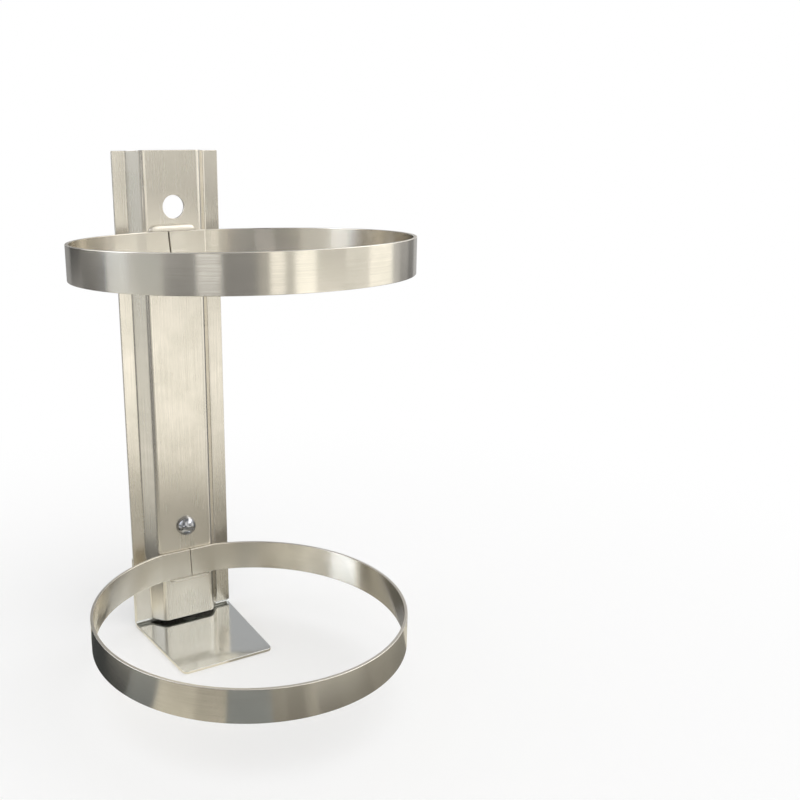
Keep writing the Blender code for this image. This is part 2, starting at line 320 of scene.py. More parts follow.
# %% Sheared edges
EDGE_GRIT = 0.3 * MM
EDGE_COLOUR, EDGE_GRIT_COLOUR = "#e4dfd5", "#d8d2c7"
EDGE_ROUGHNESS = (0.35, 0.5)


def sheared_edge():
    """A cut and deburred stainless edge."""
    material, tree = new_material("sheared_stainless_edge")
    place = add_node(tree, "ShaderNodeTexCoord")
    grit = add_node(tree, "ShaderNodeTexNoise", {
        "Vector": place.outputs["Object"], "Scale": 1 / EDGE_GRIT, "Detail": 2.0, "Roughness": 0.5})
    roughness = add_node(tree, "ShaderNodeMapRange", {
        "Value": grit.outputs["Fac"], "From Min": WHOLE_NOISE[0], "From Max": WHOLE_NOISE[1],
        "To Min": EDGE_ROUGHNESS[0], "To Max": EDGE_ROUGHNESS[1]})
    colour = add_node(tree, "ShaderNodeMix", {
        "Factor": grit.outputs["Fac"], "A": linear(EDGE_COLOUR), "B": linear(EDGE_GRIT_COLOUR)},
        data_type="RGBA")
    shader = add_node(tree, "ShaderNodeBsdfPrincipled", {
        "Base Color": colour.outputs["Result"], "Metallic": 1.0,
        "Roughness": roughness.outputs["Result"]})
    add_node(tree, "ShaderNodeOutputMaterial", {"Surface": shader.outputs["BSDF"]})
    return material


edge_steel = sheared_edge()
print("edge finish:", edge_steel.name, "with a grit of", round(EDGE_GRIT / MM, 2), "mm")

# %% [markdown]
# ## The hoops
#
# Each hoop is one length of strip, rolled to a circle and then set down flat where it meets the
# channel, with a tight corner at either side of the flat. Its two ends meet there in an open seam.
# A bought ring would have no flat and no seam, so a torus or a ready-made tube is no use here. The
# tip starts at one end of the strip, goes along half of the flat, round a corner, round the whole
# circle, and home along the other half of the flat. The strip's ends were sheared by hand, so the
# seams lean a little.

# %% Hoops
FLAT_WIDTH = 32.0 * MM
FLAT_CORNER_RADIUS = 6.0 * MM
STEPS_PER_HOOP = 220

# piece, solid, then the seam's place, lean and gap
HOOPS = (
    ("upper_hoop_strip", "upper_hoop", -3.4 * MM, 1.2 * MM, 0.6 * MM),
    ("lower_hoop_strip", "lower_hoop", 1.6 * MM, 0.6 * MM, 0.25 * MM),
)


def hoop(name, node, seam_x, seam_lean, seam_gap):
    """A hoop of strip inside the box of its solid, with a seam at the given place that leans left."""
    low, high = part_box(node)
    radius = (high[0] - low[0]) / 2 - SHEET / 2
    flat_y = high[1] - SHEET / 2
    flat_to_centre = math.sqrt(radius ** 2 - (FLAT_WIDTH / 2) ** 2)
    corner_y = flat_to_centre - FLAT_CORNER_RADIUS
    corner_x = math.sqrt((radius - FLAT_CORNER_RADIUS) ** 2 - corner_y ** 2)
    corner_turn = math.pi / 2 - math.atan2(corner_y, corner_x)

    strip = bmesh.new()
    heading = Vector((1.0, 0.0, 0.0))
    start_x = seam_x + seam_gap / 2
    tip = strip.verts.new((start_x, flat_y, low[2]))
    tip = run_straight(strip, tip, heading, corner_x - start_x)
    tip, heading = run_bend(strip, tip, heading, FLAT_CORNER_RADIUS, -corner_turn)
    tip, heading = run_bend(strip, tip, heading, radius, -(math.tau - 2 * corner_turn), STEPS_PER_HOOP)
    tip, heading = run_bend(strip, tip, heading, FLAT_CORNER_RADIUS, -corner_turn)
    tip = run_straight(strip, tip, heading, corner_x + seam_x - seam_gap / 2)
    print(name, "closes to", round((tip.co.x - start_x) / MM, 3), "mm at the seam")

    strip.verts.ensure_lookup_table()
    ends = strip.verts[0], tip
    push_out(strip, (0, 0, high[2] - low[2]))
    for end in ends:
        upright = max(end.link_edges, key=lambda edge: abs(edge.verts[0].co.z - edge.verts[1].co.z))
        end.co.x += seam_lean / 2
        upright.other_vert(end).co.x -= seam_lean / 2
    bmesh.ops.recalc_face_normals(strip, faces=strip.faces)
    centre_y = flat_y - flat_to_centre
    seam_angle = math.atan2(seam_x, flat_to_centre)
    lay_grain_map(strip, lambda p: radius * ((math.atan2(p.x, p.y - centre_y) - seam_angle) % math.tau),
                  lambda p: p.z)
    piece = make_piece(name, strip, node, "brushed_stainless", hoop_steel, edge_steel)
    thicken(piece)


for name, node, seam_x, seam_lean, seam_gap in HOOPS:
    hoop(name, node, seam_x, seam_lean, seam_gap)

# %% [markdown]
# ## Punching round holes
#
# The channel has two round holes in its raised face, punched before folding on the real one. A
# boolean would cut them too, but it leaves long thin faces that shade badly on a flat. Here a square
# around each hole is cut out of the face, its rim is divided as finely as a circle, and the two are
# bridged. The area of the bridge tells whether that went well, so it is printed.

# %% Tools for holes
HOLE_SEGMENTS = 64

# the square's side is this many times the hole's diameter
HOLE_SURROUND = 1.35

TOUCHING = 0.001 * MM
MERGE_DISTANCE = 0.0001 * MM


def slice_sheet(sheet, point, normal, faces):
    """Cuts the given faces along a plane, and leaves both sides in place."""
    parts = {part for face in faces for part in (face, *face.edges, *face.verts)}
    bmesh.ops.bisect_plane(sheet, geom=list(parts), dist=MERGE_DISTANCE, plane_co=point,
                           plane_no=normal)


def punch(sheet, diameter, height, face_y):
    """A round hole in the raised face at a height, bridged to a square that is cut round it.

    The circle is bridged from a little in front and then set back into the face, because two flat
    loops about one centre give the bridge no direction, and it may then join them twisted.
    """
    half = diameter / 2 * HOLE_SURROUND
    middle = Vector((0, face_y, height))
    for side in (-half, half):
        slice_sheet(sheet, (0, 0, height + side), (0, 0, 1), sheet.faces)
    for side in (-half, half):
        panel = [face for face in sheet.faces if abs(face.calc_center_median().z - height) < half
                 and abs(face.calc_center_median().y - face_y) < TOUCHING]
        slice_sheet(sheet, (side, 0, 0), (1, 0, 0), panel)
    window = min(sheet.faces, key=lambda face: (face.calc_center_median() - middle).length)
    rim = window.edges[:]
    bmesh.ops.delete(sheet, geom=[window], context="FACES_ONLY")
    bmesh.ops.subdivide_edges(sheet, edges=rim, cuts=HOLE_SEGMENTS // 4 - 1)
    square = [edge for edge in sheet.edges if edge.is_boundary
              and all(abs(vert.co.y - face_y) < TOUCHING
                      and max(abs(vert.co.x), abs(vert.co.z - height)) < half + TOUCHING
                      for vert in edge.verts)]
    ahead = Vector((0, -SHEET, 0))
    stand = Matrix.Translation(middle + ahead) @ Matrix.Rotation(math.radians(90), 4, "X")
    circle = bmesh.ops.create_circle(sheet, segments=HOLE_SEGMENTS, radius=diameter / 2,
                                     matrix=stand)["verts"]
    ring = list({edge for vert in circle for edge in vert.link_edges})
    bridge = bmesh.ops.bridge_loops(sheet, edges=square + ring)["faces"]
    bmesh.ops.translate(sheet, verts=circle, vec=-ahead)
    area = sum(face.calc_area() for face in bridge)
    expected = 4 * half ** 2 - math.pi * diameter ** 2 / 4
    print("hole of", round(diameter / MM, 1), "mm: its surround measures", round(area / MM ** 2, 1),
          "of", round(expected / MM ** 2, 1), "square mm")


print("holes are drawn with", HOLE_SEGMENTS, "sides")

# %% [markdown]
# ## The pressed channel
#
# The channel is one sheet with four folds: a flange against the wall, a sloping web, the raised face,
# and the same again mirrored. The tip draws that section once and the line is pushed up to the
# channel's length. The press did not hold the section to the end: behind the lower hoop the left web
# is drawn in, and the section is a little narrower below it.

# %% Channel
FACE_WIDTH = 30.0 * MM
FACE_OFFSET = -0.6 * MM
WEB_RUN = 5.6 * MM
FACE_HEIGHT = 7.6 * MM
FACE_BEND_RADIUS = 3.2 * MM
FLANGE_BEND_RADIUS = 2.2 * MM
DRAWN_IN = 2.1 * MM
DRAWN_IN_BELOW, FULL_ABOVE = 8.5 * MM, 22.5 * MM
MARGIN = 0.1 * MM

# diameter, and height of the middle
SCREW_HOLE = (11.5 * MM, 207.9 * MM)
RIVET_HOLE = (5.4 * MM, 37.5 * MM)


def pressed_channel():
    """The channel's section, pushed up to its length, with both of its holes."""
    low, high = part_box("back_channel")
    slope = math.atan2(FACE_HEIGHT, WEB_RUN)
    face_cut = FACE_BEND_RADIUS * math.tan(slope / 2)
    flange_cut = FLANGE_BEND_RADIUS * math.tan(slope / 2)
    left_flange = FACE_OFFSET - FACE_WIDTH / 2 - WEB_RUN - flange_cut - low[0]
    right_flange = high[0] - (FACE_OFFSET + FACE_WIDTH / 2 + WEB_RUN + flange_cut)
    web = math.hypot(FACE_HEIGHT, WEB_RUN) - face_cut - flange_cut
    face_y = low[1] + SHEET / 2

    sheet = bmesh.new()
    heading = Vector((1.0, 0.0, 0.0))
    tip = sheet.verts.new((low[0], high[1] - SHEET / 2, low[2]))
    tip = run_straight(sheet, tip, heading, left_flange)
    tip, heading = run_bend(sheet, tip, heading, FLANGE_BEND_RADIUS, -slope)
    tip = run_straight(sheet, tip, heading, web)
    tip, heading = run_bend(sheet, tip, heading, FACE_BEND_RADIUS, slope)
    tip = run_straight(sheet, tip, heading, FACE_WIDTH - 2 * face_cut)
    tip, heading = run_bend(sheet, tip, heading, FACE_BEND_RADIUS, slope)
    tip = run_straight(sheet, tip, heading, web)
    tip, heading = run_bend(sheet, tip, heading, FLANGE_BEND_RADIUS, -slope)
    tip = run_straight(sheet, tip, heading, right_flange)
    print("channel's section ends at", round(tip.co.x / MM, 2), "mm of", round(high[0] / MM, 2))

    push_out(sheet, (0, 0, high[2] - low[2]))
    for height in (DRAWN_IN_BELOW, FULL_ABOVE):
        slice_sheet(sheet, (0, 0, height), (0, 0, 1), sheet.faces)
    web_starts = low[0] + left_flange - MARGIN
    for vert in sheet.verts:
        if vert.co.z < DRAWN_IN_BELOW + MARGIN and web_starts < vert.co.x < FACE_OFFSET:
            vert.co.x += DRAWN_IN
    punch(sheet, *SCREW_HOLE, face_y)
    punch(sheet, *RIVET_HOLE, face_y)
    bmesh.ops.recalc_face_normals(sheet, faces=sheet.faces)
    lay_grain_map(sheet, lambda p: p.x, lambda p: p.z)
    piece = make_piece("pressed_channel", sheet, "back_channel", "brushed_stainless",
                       channel_steel, edge_steel)
    thicken(piece)


pressed_channel()

# %% [markdown]
# ## Bright stainless
#
# The foot plate and the rivet's head are left with a bright finish, close to a mirror: the plate shows
# the channel upside down in it. Such a surface is only as dull as its handling. Soft smears lift the
# roughness here and there, and a wide, very low waviness bends the reflections as rolled sheet does.
# The rivet's darker colour is painted shade: it stands in for the dark surroundings that its dome mirrors.

# %% Bright stainless
SMEAR_SIZE = 12 * MM
WAVE_SIZE = 18 * MM
WAVE_HEIGHT = 0.01 * MM
SMEAR_NOISE = (0.35, 0.7)


def bright_stainless(name, colour, cleanest, dullest):
    """Bright-annealed stainless steel with soft smears and a slight waviness."""
    material, tree = new_material(name)
    place = add_node(tree, "ShaderNodeTexCoord")
    smears = add_node(tree, "ShaderNodeTexNoise", {
        "Vector": place.outputs["Object"], "Scale": 1 / SMEAR_SIZE, "Detail": 5.0, "Roughness": 0.6})
    roughness = add_node(tree, "ShaderNodeMapRange", {
        "Value": smears.outputs["Fac"], "From Min": SMEAR_NOISE[0], "From Max": SMEAR_NOISE[1],
        "To Min": cleanest, "To Max": dullest})
    waves = add_node(tree, "ShaderNodeTexNoise", {
        "Vector": place.outputs["Object"], "Scale": 1 / WAVE_SIZE, "Detail": 1.0})
    relief = add_node(tree, "ShaderNodeBump", {
        "Height": waves.outputs["Fac"], "Strength": 1.0, "Distance": WAVE_HEIGHT})
    shader = add_node(tree, "ShaderNodeBsdfPrincipled", {
        "Base Color": linear(colour), "Metallic": 1.0, "Roughness": roughness.outputs["Result"],
        "Normal": relief.outputs["Normal"]})
    add_node(tree, "ShaderNodeOutputMaterial", {"Surface": shader.outputs["BSDF"]})
    return material


plate_steel = bright_stainless("bright_stainless_sheet", "#dbdddc", cleanest=0.10, dullest=0.20)
# the rivet's colour is darker than the plate's: painted shade for the dark surroundings its dome mirrors
rivet_steel_painted_dark = bright_stainless("polished_stainless_rivet_painted_dark", "#a8a9ac", cleanest=0.09, dullest=0.14)
print("bright finishes:", plate_steel.name, "and", rivet_steel_painted_dark.name)

# %% [markdown]
# ## The foot plate
#
# The foot plate is a second sheet with one fold: a leg behind the channel's flanges, and the shelf that
# the extinguisher stands on. The shelf narrows a little towards its front, where its two corners are
# rounded. The tip runs down the leg, round the fold and out to the front. The line is pushed out to
# the plate's width, the front is drawn in, and a vertex bevel rounds the two corners.

# %% Foot plate
PLATE_FRONT_WIDTH = 50.0 * MM
PLATE_CORNER_RADIUS = 2.5 * MM
PLATE_CORNER_SEGMENTS = 8
PLATE_FOLD_RADIUS = 2.15 * MM
TAPER_STARTS = 3.3 * MM


def foot_plate():
    """An L of sheet, folded in the XY plane and then stood up, so that its leg is upright."""
    low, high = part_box("foot_shelf")
    width = high[0] - low[0]
    reach = high[1] - low[1]
    sheet = bmesh.new()
    heading = Vector((0.0, -1.0, 0.0))
    tip = sheet.verts.new((SHEET / 2, high[2], 0.0))
    tip = run_straight(sheet, tip, heading, high[2] - low[2] - SHEET / 2 - PLATE_FOLD_RADIUS)
    tip, heading = run_bend(sheet, tip, heading, PLATE_FOLD_RADIUS, math.radians(90))
    tip = run_straight(sheet, tip, heading, TAPER_STARTS - tip.co.x)
    tip = run_straight(sheet, tip, heading, reach - TAPER_STARTS)
    stand = Matrix(((0, 0, 1, low[0]), (-1, 0, 0, high[1]), (0, 1, 0, 0), (0, 0, 0, 1)))
    bmesh.ops.transform(sheet, matrix=stand, verts=sheet.verts)
    push_out(sheet, (width, 0, 0))
    front = [vert for vert in sheet.verts if vert.co.y < low[1] + TOUCHING]
    bmesh.ops.scale(sheet, vec=(PLATE_FRONT_WIDTH / width, 1, 1), verts=front)
    bmesh.ops.bevel(sheet, geom=front, offset=PLATE_CORNER_RADIUS, offset_type="OFFSET",
                    segments=PLATE_CORNER_SEGMENTS, profile=0.5, affect="VERTICES", material=-1)
    bmesh.ops.recalc_face_normals(sheet, faces=sheet.faces)
    piece = make_piece("foot_plate", sheet, "foot_shelf", "polished_stainless", plate_steel, edge_steel)
    thicken(piece)


foot_plate()

# %% [markdown]
# ## Weld metal
#
# A weld is the same stainless steel, melted, cast in place and brushed clean afterwards. Its skin is
# finely pitted, which makes it duller than the sheet beside it and spreads each highlight. One noise
# of the pits' size drives the colour, the roughness and the relief.

# %% Weld metal
WELD_PIT = 0.6 * MM
WELD_PIT_DEPTH = 0.02 * MM
WELD_COLOUR, WELD_PIT_COLOUR = "#e2dccf", "#d6cfc2"
WELD_ROUGHNESS = (0.34, 0.46)


def weld_material():
    """Clean weld metal: the same steel, cast in place, a little duller and with fine pitting."""
    material, tree = new_material("cleaned_weld_metal")
    place = add_node(tree, "ShaderNodeTexCoord")
    pits = add_node(tree, "ShaderNodeTexNoise", {
        "Vector": place.outputs["Object"], "Scale": 1 / WELD_PIT, "Detail": 3.0, "Roughness": 0.6})
    roughness = add_node(tree, "ShaderNodeMapRange", {
        "Value": pits.outputs["Fac"], "From Min": WHOLE_NOISE[0], "From Max": WHOLE_NOISE[1],
        "To Min": WELD_ROUGHNESS[0], "To Max": WELD_ROUGHNESS[1]})
    colour = add_node(tree, "ShaderNodeMix", {
        "Factor": pits.outputs["Fac"], "A": linear(WELD_COLOUR), "B": linear(WELD_PIT_COLOUR)},
        data_type="RGBA")
    relief = add_node(tree, "ShaderNodeBump", {
        "Height": pits.outputs["Fac"], "Strength": 1.0, "Distance": WELD_PIT_DEPTH})
    shader = add_node(tree, "ShaderNodeBsdfPrincipled", {
        "Base Color": colour.outputs["Result"], "Metallic": 1.0,
        "Roughness": roughness.outputs["Result"], "Normal": relief.outputs["Normal"]})
    add_node(tree, "ShaderNodeOutputMaterial", {"Surface": shader.outputs["BSDF"]})
    return material


weld_steel = weld_material()
print("weld finish:", weld_steel.name, "with pits of", round(WELD_PIT / MM, 2), "mm")

# %% [markdown]
# ## The weld beads
#
# A short fillet weld holds each hoop to the channel's face: one along the upper hoop's top edge and one
# under the lower hoop. A bead is laid down drop by drop, so it has low ripples and tapers at its ends,
# and each ripple is a crescent because the middle of the pool sets last. A ring of vertices is
# extruded along the bead, swelling and shrinking as it goes, and the parts of it that would lie
# inside the sheet and the strip are cut away.

# %% Weld beads
BEAD_REACH = 1.7 * MM
BEAD_SEGMENTS, BEAD_STEPS = 40, 150
BEAD_SHARP_ANGLE = math.radians(50)
RIPPLE_PITCH = 1.15 * MM
RIPPLE_DEPTH = 0.07
CRESCENT_LAG = 0.5 * MM
SUNK = 0.25 * MM

# the ends taper over this many times the bead's height, down to this share of its size
BEAD_TAPER, BEAD_TIP = 1.5, 0.05


def bead_size(distance, length, rise):
    """How full the bead is at a distance from its start: tapered ends, and a ripple for each drop."""
    from_end = min(distance, length - distance)
    end = math.sqrt(1 - (1 - min(from_end / (BEAD_TAPER * rise), 1.0)) ** 2)
    ripple = abs(math.sin(math.pi * distance / RIPPLE_PITCH))
    return max(end, BEAD_TIP) * (1 - RIPPLE_DEPTH + RIPPLE_DEPTH * ripple)


def weld_bead(name, node, upwards):
    """A rippled fillet in the corner between the face and a hoop's edge."""
    low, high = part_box(node)
    length, rise = high[0] - low[0], high[2] - low[2]
    corner = Vector((low[0], high[1], low[2] if upwards else high[2]))
    bead = bmesh.new()
    turn = Matrix.Translation(corner) @ Matrix.Rotation(math.radians(90), 4, "Y")
    ring = bmesh.ops.create_circle(bead, segments=BEAD_SEGMENTS, radius=1.0, matrix=turn)["verts"]
    bmesh.ops.scale(bead, vec=(1, BEAD_REACH, rise), verts=ring, space=Matrix.Translation(-corner))
    size = bead_size(0, length, rise)
    bmesh.ops.scale(bead, vec=(1, size, size), verts=ring, space=Matrix.Translation(-corner))
    bmesh.ops.contextual_create(bead, geom=bead.edges[:])
    edges = bead.edges[:]
    for step in range(1, BEAD_STEPS + 1):
        pushed = bmesh.ops.extrude_edge_only(bead, edges=edges)["geom"]
        ring = [item for item in pushed if isinstance(item, bmesh.types.BMVert)]
        edges = [edge for edge in pushed if isinstance(edge, bmesh.types.BMEdge)
                 and all(vert in ring for vert in edge.verts)]
        before, size = size, bead_size(length * step / BEAD_STEPS, length, rise)
        bmesh.ops.translate(bead, verts=ring, vec=(length / BEAD_STEPS, 0, 0))
        bmesh.ops.scale(bead, vec=(1, size / before, size / before), verts=ring,
                        space=Matrix.Translation(-corner))
    bmesh.ops.contextual_create(bead, geom=edges)
    for vert in bead.verts:
        away = abs(math.atan2(vert.co.z - corner.z, corner.y - vert.co.y)) / (math.pi / 2)
        middle = 1 - abs(2 * min(away, 1.0) - 1)
        from_end = min(vert.co.x - low[0], high[0] - vert.co.x)
        vert.co.x += CRESCENT_LAG * middle * min(from_end / rise, 1.0)
    side = 1 if upwards else -1
    for point, normal in ((corner + Vector((0, SUNK, 0)), (0, 1, 0)),
                          (corner - Vector((0, 0, side * SUNK)), (0, 0, -side))):
        bmesh.ops.bisect_plane(bead, geom=bead.verts[:] + bead.edges[:] + bead.faces[:],
                               dist=MERGE_DISTANCE, plane_co=point, plane_no=normal, clear_outer=True)
        bmesh.ops.holes_fill(bead, edges=[edge for edge in bead.edges if edge.is_boundary], sides=0)
    bmesh.ops.recalc_face_normals(bead, faces=bead.faces)
    piece = make_piece(name, bead, node, "weld_metal", weld_steel)
    piece.data.set_sharp_from_angle(angle=BEAD_SHARP_ANGLE)
    print(name, "is", round(length / MM, 1), "mm long with", round(length / RIPPLE_PITCH), "ripples")


weld_bead("upper_weld_bead", "upper_hoop_weld", upwards=True)
weld_bead("lower_weld_bead", "lower_hoop_weld", upwards=False)

# %% [markdown]
# ## The rivet
#
# The bright dome low on the channel's face is a rivet: a domed head in front, a shank through the
# sheet, and a smaller turned-over tail behind. It is a turned part, so its half outline is drawn with
# the same travelling tip and then spun once round its axis.

# %% Rivet
RIVET_HEAD = 10.8 * MM
RIVET_DOME = 4.2 * MM
RIVET_RIM = 0.6 * MM
RIVET_SHANK = 4.8 * MM
RIVET_TAIL = 7.8 * MM
RIVET_TURNS = 72
DOME_STEPS, TAIL_STEPS = 24, 16
RIM_ROUNDING, RIM_SEGMENTS = 0.2 * MM, 3

# the head and the tail each stand 0.3 mm off the sheet
RIVET_GRIP = SHEET + 0.6 * MM


def face_rivet():
    """The rivet's outline from its crown to its tail, spun about the axis and stood in its hole."""
    low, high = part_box("face_rivet")
    middle = Vector(((low[0] + high[0]) / 2, low[1], (low[2] + high[2]) / 2))
    dome_radius = ((RIVET_HEAD / 2) ** 2 + RIVET_DOME ** 2) / (2 * RIVET_DOME)
    dome_angle = math.asin(RIVET_HEAD / 2 / dome_radius)
    tail_start = RIVET_DOME + RIVET_RIM + RIVET_GRIP
    tail_depth = high[1] - low[1] - tail_start

    outline = bmesh.new()
    right, down, left = Vector((1, 0, 0)), Vector((0, -1, 0)), Vector((-1, 0, 0))
    tip = outline.verts.new((0, 0, 0))
    tip, _ = run_bend(outline, tip, right, dome_radius, -dome_angle, DOME_STEPS)
    tip = run_straight(outline, tip, down, RIVET_RIM)
    tip = run_straight(outline, tip, left, (RIVET_HEAD - RIVET_SHANK) / 2)
    tip = run_straight(outline, tip, down, RIVET_GRIP)
    tip = run_straight(outline, tip, right, (RIVET_TAIL - RIVET_SHANK) / 2)
    first_of_tail = len(outline.verts)
    run_bend(outline, tip, down, RIVET_TAIL / 2, -math.radians(90), TAIL_STEPS)
    outline.verts.ensure_lookup_table()
    tail = outline.verts[first_of_tail:]
    bmesh.ops.scale(outline, vec=(1, tail_depth / (RIVET_TAIL / 2), 1), verts=tail,
                    space=Matrix.Translation((0, tail_start, 0)))
    bmesh.ops.spin(outline, geom=outline.verts[:] + outline.edges[:], cent=(0, 0, 0), axis=(0, 1, 0),
                   angle=math.tau, steps=RIVET_TURNS, use_merge=True)
    bmesh.ops.remove_doubles(outline, verts=outline.verts, dist=MERGE_DISTANCE)
    bmesh.ops.recalc_face_normals(outline, faces=outline.faces)
    stand = Matrix.Translation(middle) @ Matrix.Rotation(math.radians(180), 4, "Z")
    bmesh.ops.transform(outline, matrix=stand, verts=outline.verts)
    rim = [edge for edge in outline.edges
           if len(edge.link_faces) == 2 and edge.calc_face_angle() > SHARP_ANGLE]
    bmesh.ops.bevel(outline, geom=rim, offset=RIM_ROUNDING, offset_type="OFFSET", segments=RIM_SEGMENTS,
                    profile=0.5, affect="EDGES", material=-1)
    piece = make_piece("domed_rivet", outline, "face_rivet", "polished_stainless", rivet_steel_painted_dark)
    print("rivet is", len(piece.data.polygons), "faces, dome radius", round(dome_radius / MM, 2), "mm")


face_rivet()

# %% [markdown]
# ## The studio
#
# The background is a pale floor in a white world. What a ray finds there depends on what it is for.
# Rays from the camera, off metal and through glass show the background, and those find a floor that
# turns to white with distance, so that no horizon shows. All other rays carry light to the bracket,
# and those find the floor and the world at a plain level. Three helpers come first: one tells the two
# kinds of ray apart, one measures how far from the hoops a point is, and one puts a finished shape
# into the studio.

# %% Tools for the studio
FLOOR_GAP = 0.1 * MM

hoop_low, hoop_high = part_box("lower_hoop")
floor_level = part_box("foot_shelf")[0][2] - FLOOR_GAP
ring_centre = Vector((0.0, hoop_low[1] + (hoop_high[0] - hoop_low[0]) / 2, 0.0))


def shows_background(tree):
    """A factor of 1 for rays from the camera, off metal and through glass, and 0 for the rest."""
    path = add_node(tree, "ShaderNodeLightPath")
    either = add_node(tree, "ShaderNodeMath", {
        0: path.outputs["Is Camera Ray"], 1: path.outputs["Is Glossy Ray"]}, operation="MAXIMUM")
    return add_node(tree, "ShaderNodeMath", {
        0: either.outputs["Value"], 1: path.outputs["Is Transmission Ray"]},
        operation="MAXIMUM").outputs["Value"]


def distance_from_hoops(tree):
    """How far a point stands from the upright axis through the hoops, in metres."""
    place = add_node(tree, "ShaderNodeTexCoord")
    centred = add_node(tree, "ShaderNodeMapping", {
        "Vector": place.outputs["Object"], "Location": -ring_centre})
    flat = add_node(tree, "ShaderNodeVectorMath", {
        0: centred.outputs["Vector"], 1: (1.0, 1.0, 0.0)}, operation="MULTIPLY")
    return add_node(tree, "ShaderNodeVectorMath", {
        0: flat.outputs["Vector"]}, operation="LENGTH").outputs["Value"]


def stage_mesh(name, builder, material):
    """A finished bmesh as a part of the studio, not of the bracket."""
    mesh = bpy.data.meshes.new(name)
    builder.to_mesh(mesh)
    builder.free()
    mesh.materials.append(material)
    item = bpy.data.objects.new(name, mesh)
    bpy.context.scene.collection.objects.link(item)
    return item


print("floor at", round(floor_level / MM, 2), "mm, hoops round y", round(ring_centre.y / MM, 2), "mm")

# %% [markdown]
# ## Floor, world and lamp
#
# The world lights the bracket evenly at a plain level. One very soft lamp, which the metal doesn't
# mirror, gives the floor its shadow. Close to the bracket the floor stays a real, matt floor and keeps
# that shadow, and only further out does it turn to the background's white.

# %% Floor, world and lamp
FLOOR_COLOUR = "#fcfcfc"
FLOOR_RADIUS = 12.0
WHITE_FROM, ALL_WHITE = 0.14, 0.5
AMBIENT = 0.80
LAMP_STRENGTH = 0.75
LAMP_SOFTNESS = 80
LAMP_TILT = (28, 18, 0)

world = bpy.data.worlds.new("white_studio")
bpy.context.scene.world = world
world.use_nodes = True
sky = world.node_tree
sky.nodes.clear()
ambient = add_node(sky, "ShaderNodeBackground", {"Color": linear("#ffffff"), "Strength": AMBIENT})
white = add_node(sky, "ShaderNodeBackground", {"Color": linear("#ffffff"), "Strength": 1.0})
either_sky = add_node(sky, "ShaderNodeMixShader", {
    0: shows_background(sky), 1: ambient.outputs["Background"], 2: white.outputs["Background"]})
add_node(sky, "ShaderNodeOutputWorld", {"Surface": either_sky.outputs["Shader"]})

floor_material, tree = new_material("pale_floor")
matt = add_node(tree, "ShaderNodeBsdfDiffuse", {"Color": linear(FLOOR_COLOUR)})
far_white = add_node(tree, "ShaderNodeEmission", {"Color": linear("#ffffff"), "Strength": 1.0})
whiteness = add_node(tree, "ShaderNodeMapRange", {
    "Value": distance_from_hoops(tree), "From Min": WHITE_FROM, "From Max": ALL_WHITE},
    interpolation_type="SMOOTHSTEP")
far_away = add_node(tree, "ShaderNodeMath", {
    0: whiteness.outputs["Result"], 1: shows_background(tree)}, operation="MULTIPLY")
both_floors = add_node(tree, "ShaderNodeMixShader", {
    0: far_away.outputs["Value"], 1: matt.outputs["BSDF"], 2: far_white.outputs["Emission"]})
add_node(tree, "ShaderNodeOutputMaterial", {"Surface": both_floors.outputs["Shader"]})

disc = bmesh.new()
bmesh.ops.create_circle(disc, cap_ends=True, segments=96, radius=FLOOR_RADIUS,
                        matrix=Matrix.Translation((0, 0, floor_level)))
stage_mesh("floor", disc, floor_material)

lamp_data = bpy.data.lights.new("soft_lamp", "SUN")
lamp_data.energy = LAMP_STRENGTH
lamp_data.angle = math.radians(LAMP_SOFTNESS)
lamp = bpy.data.objects.new("soft_lamp", lamp_data)
bpy.context.scene.collection.objects.link(lamp)
lamp.rotation_euler = [math.radians(tilt) for tilt in LAMP_TILT]
lamp.visible_glossy = False
print("floor of", FLOOR_RADIUS, "m round the bracket, world at", AMBIENT, "and lamp at", LAMP_STRENGTH)

# %% [markdown]
# ## Boards for the metal to mirror
#
# Bare metal shows its surroundings, so the surroundings are part of the look. Around the bracket stands
# a ring of boards that only reflections see, as a product photographer puts white, grey and dark boards
# round a shiny thing. Each board starts on the floor beside the hoops, lies flat for a while and then
# sweeps up. Its light and its tint are set for three places: right beside the hoops, out on the flat,
# and on the upright part. The lower hoop mirrors the first, the channel mostly the second, and the
# upper hoop the third. Boards are named and placed by compass angle: 0 degrees is straight in front of
# the bracket, and positive angles are to its right.

# %% Boards
BOARD_START = 0.078
BOARD_FOLD = 0.70
BOARD_REACH = 0.95
BOARD_LIFT = 1 * MM
BOARD_RISE = 0.06
BOARD_STEP = 3.0

# the light changes from beside the hoops to the flat over the first of these distances in metres, and
# from the flat to the upright part over the second, which are heights
BESIDE_TO_FLAT, FLAT_TO_UPRIGHT = (0.115, 0.26), (0.02, 0.10)

WARM_GREY = "#fffaea"
DAYLIGHT, COOL, NEUTRAL, CREAM = "#ecf2ff", "#f2fcff", "#ffffff", "#fffdf6"

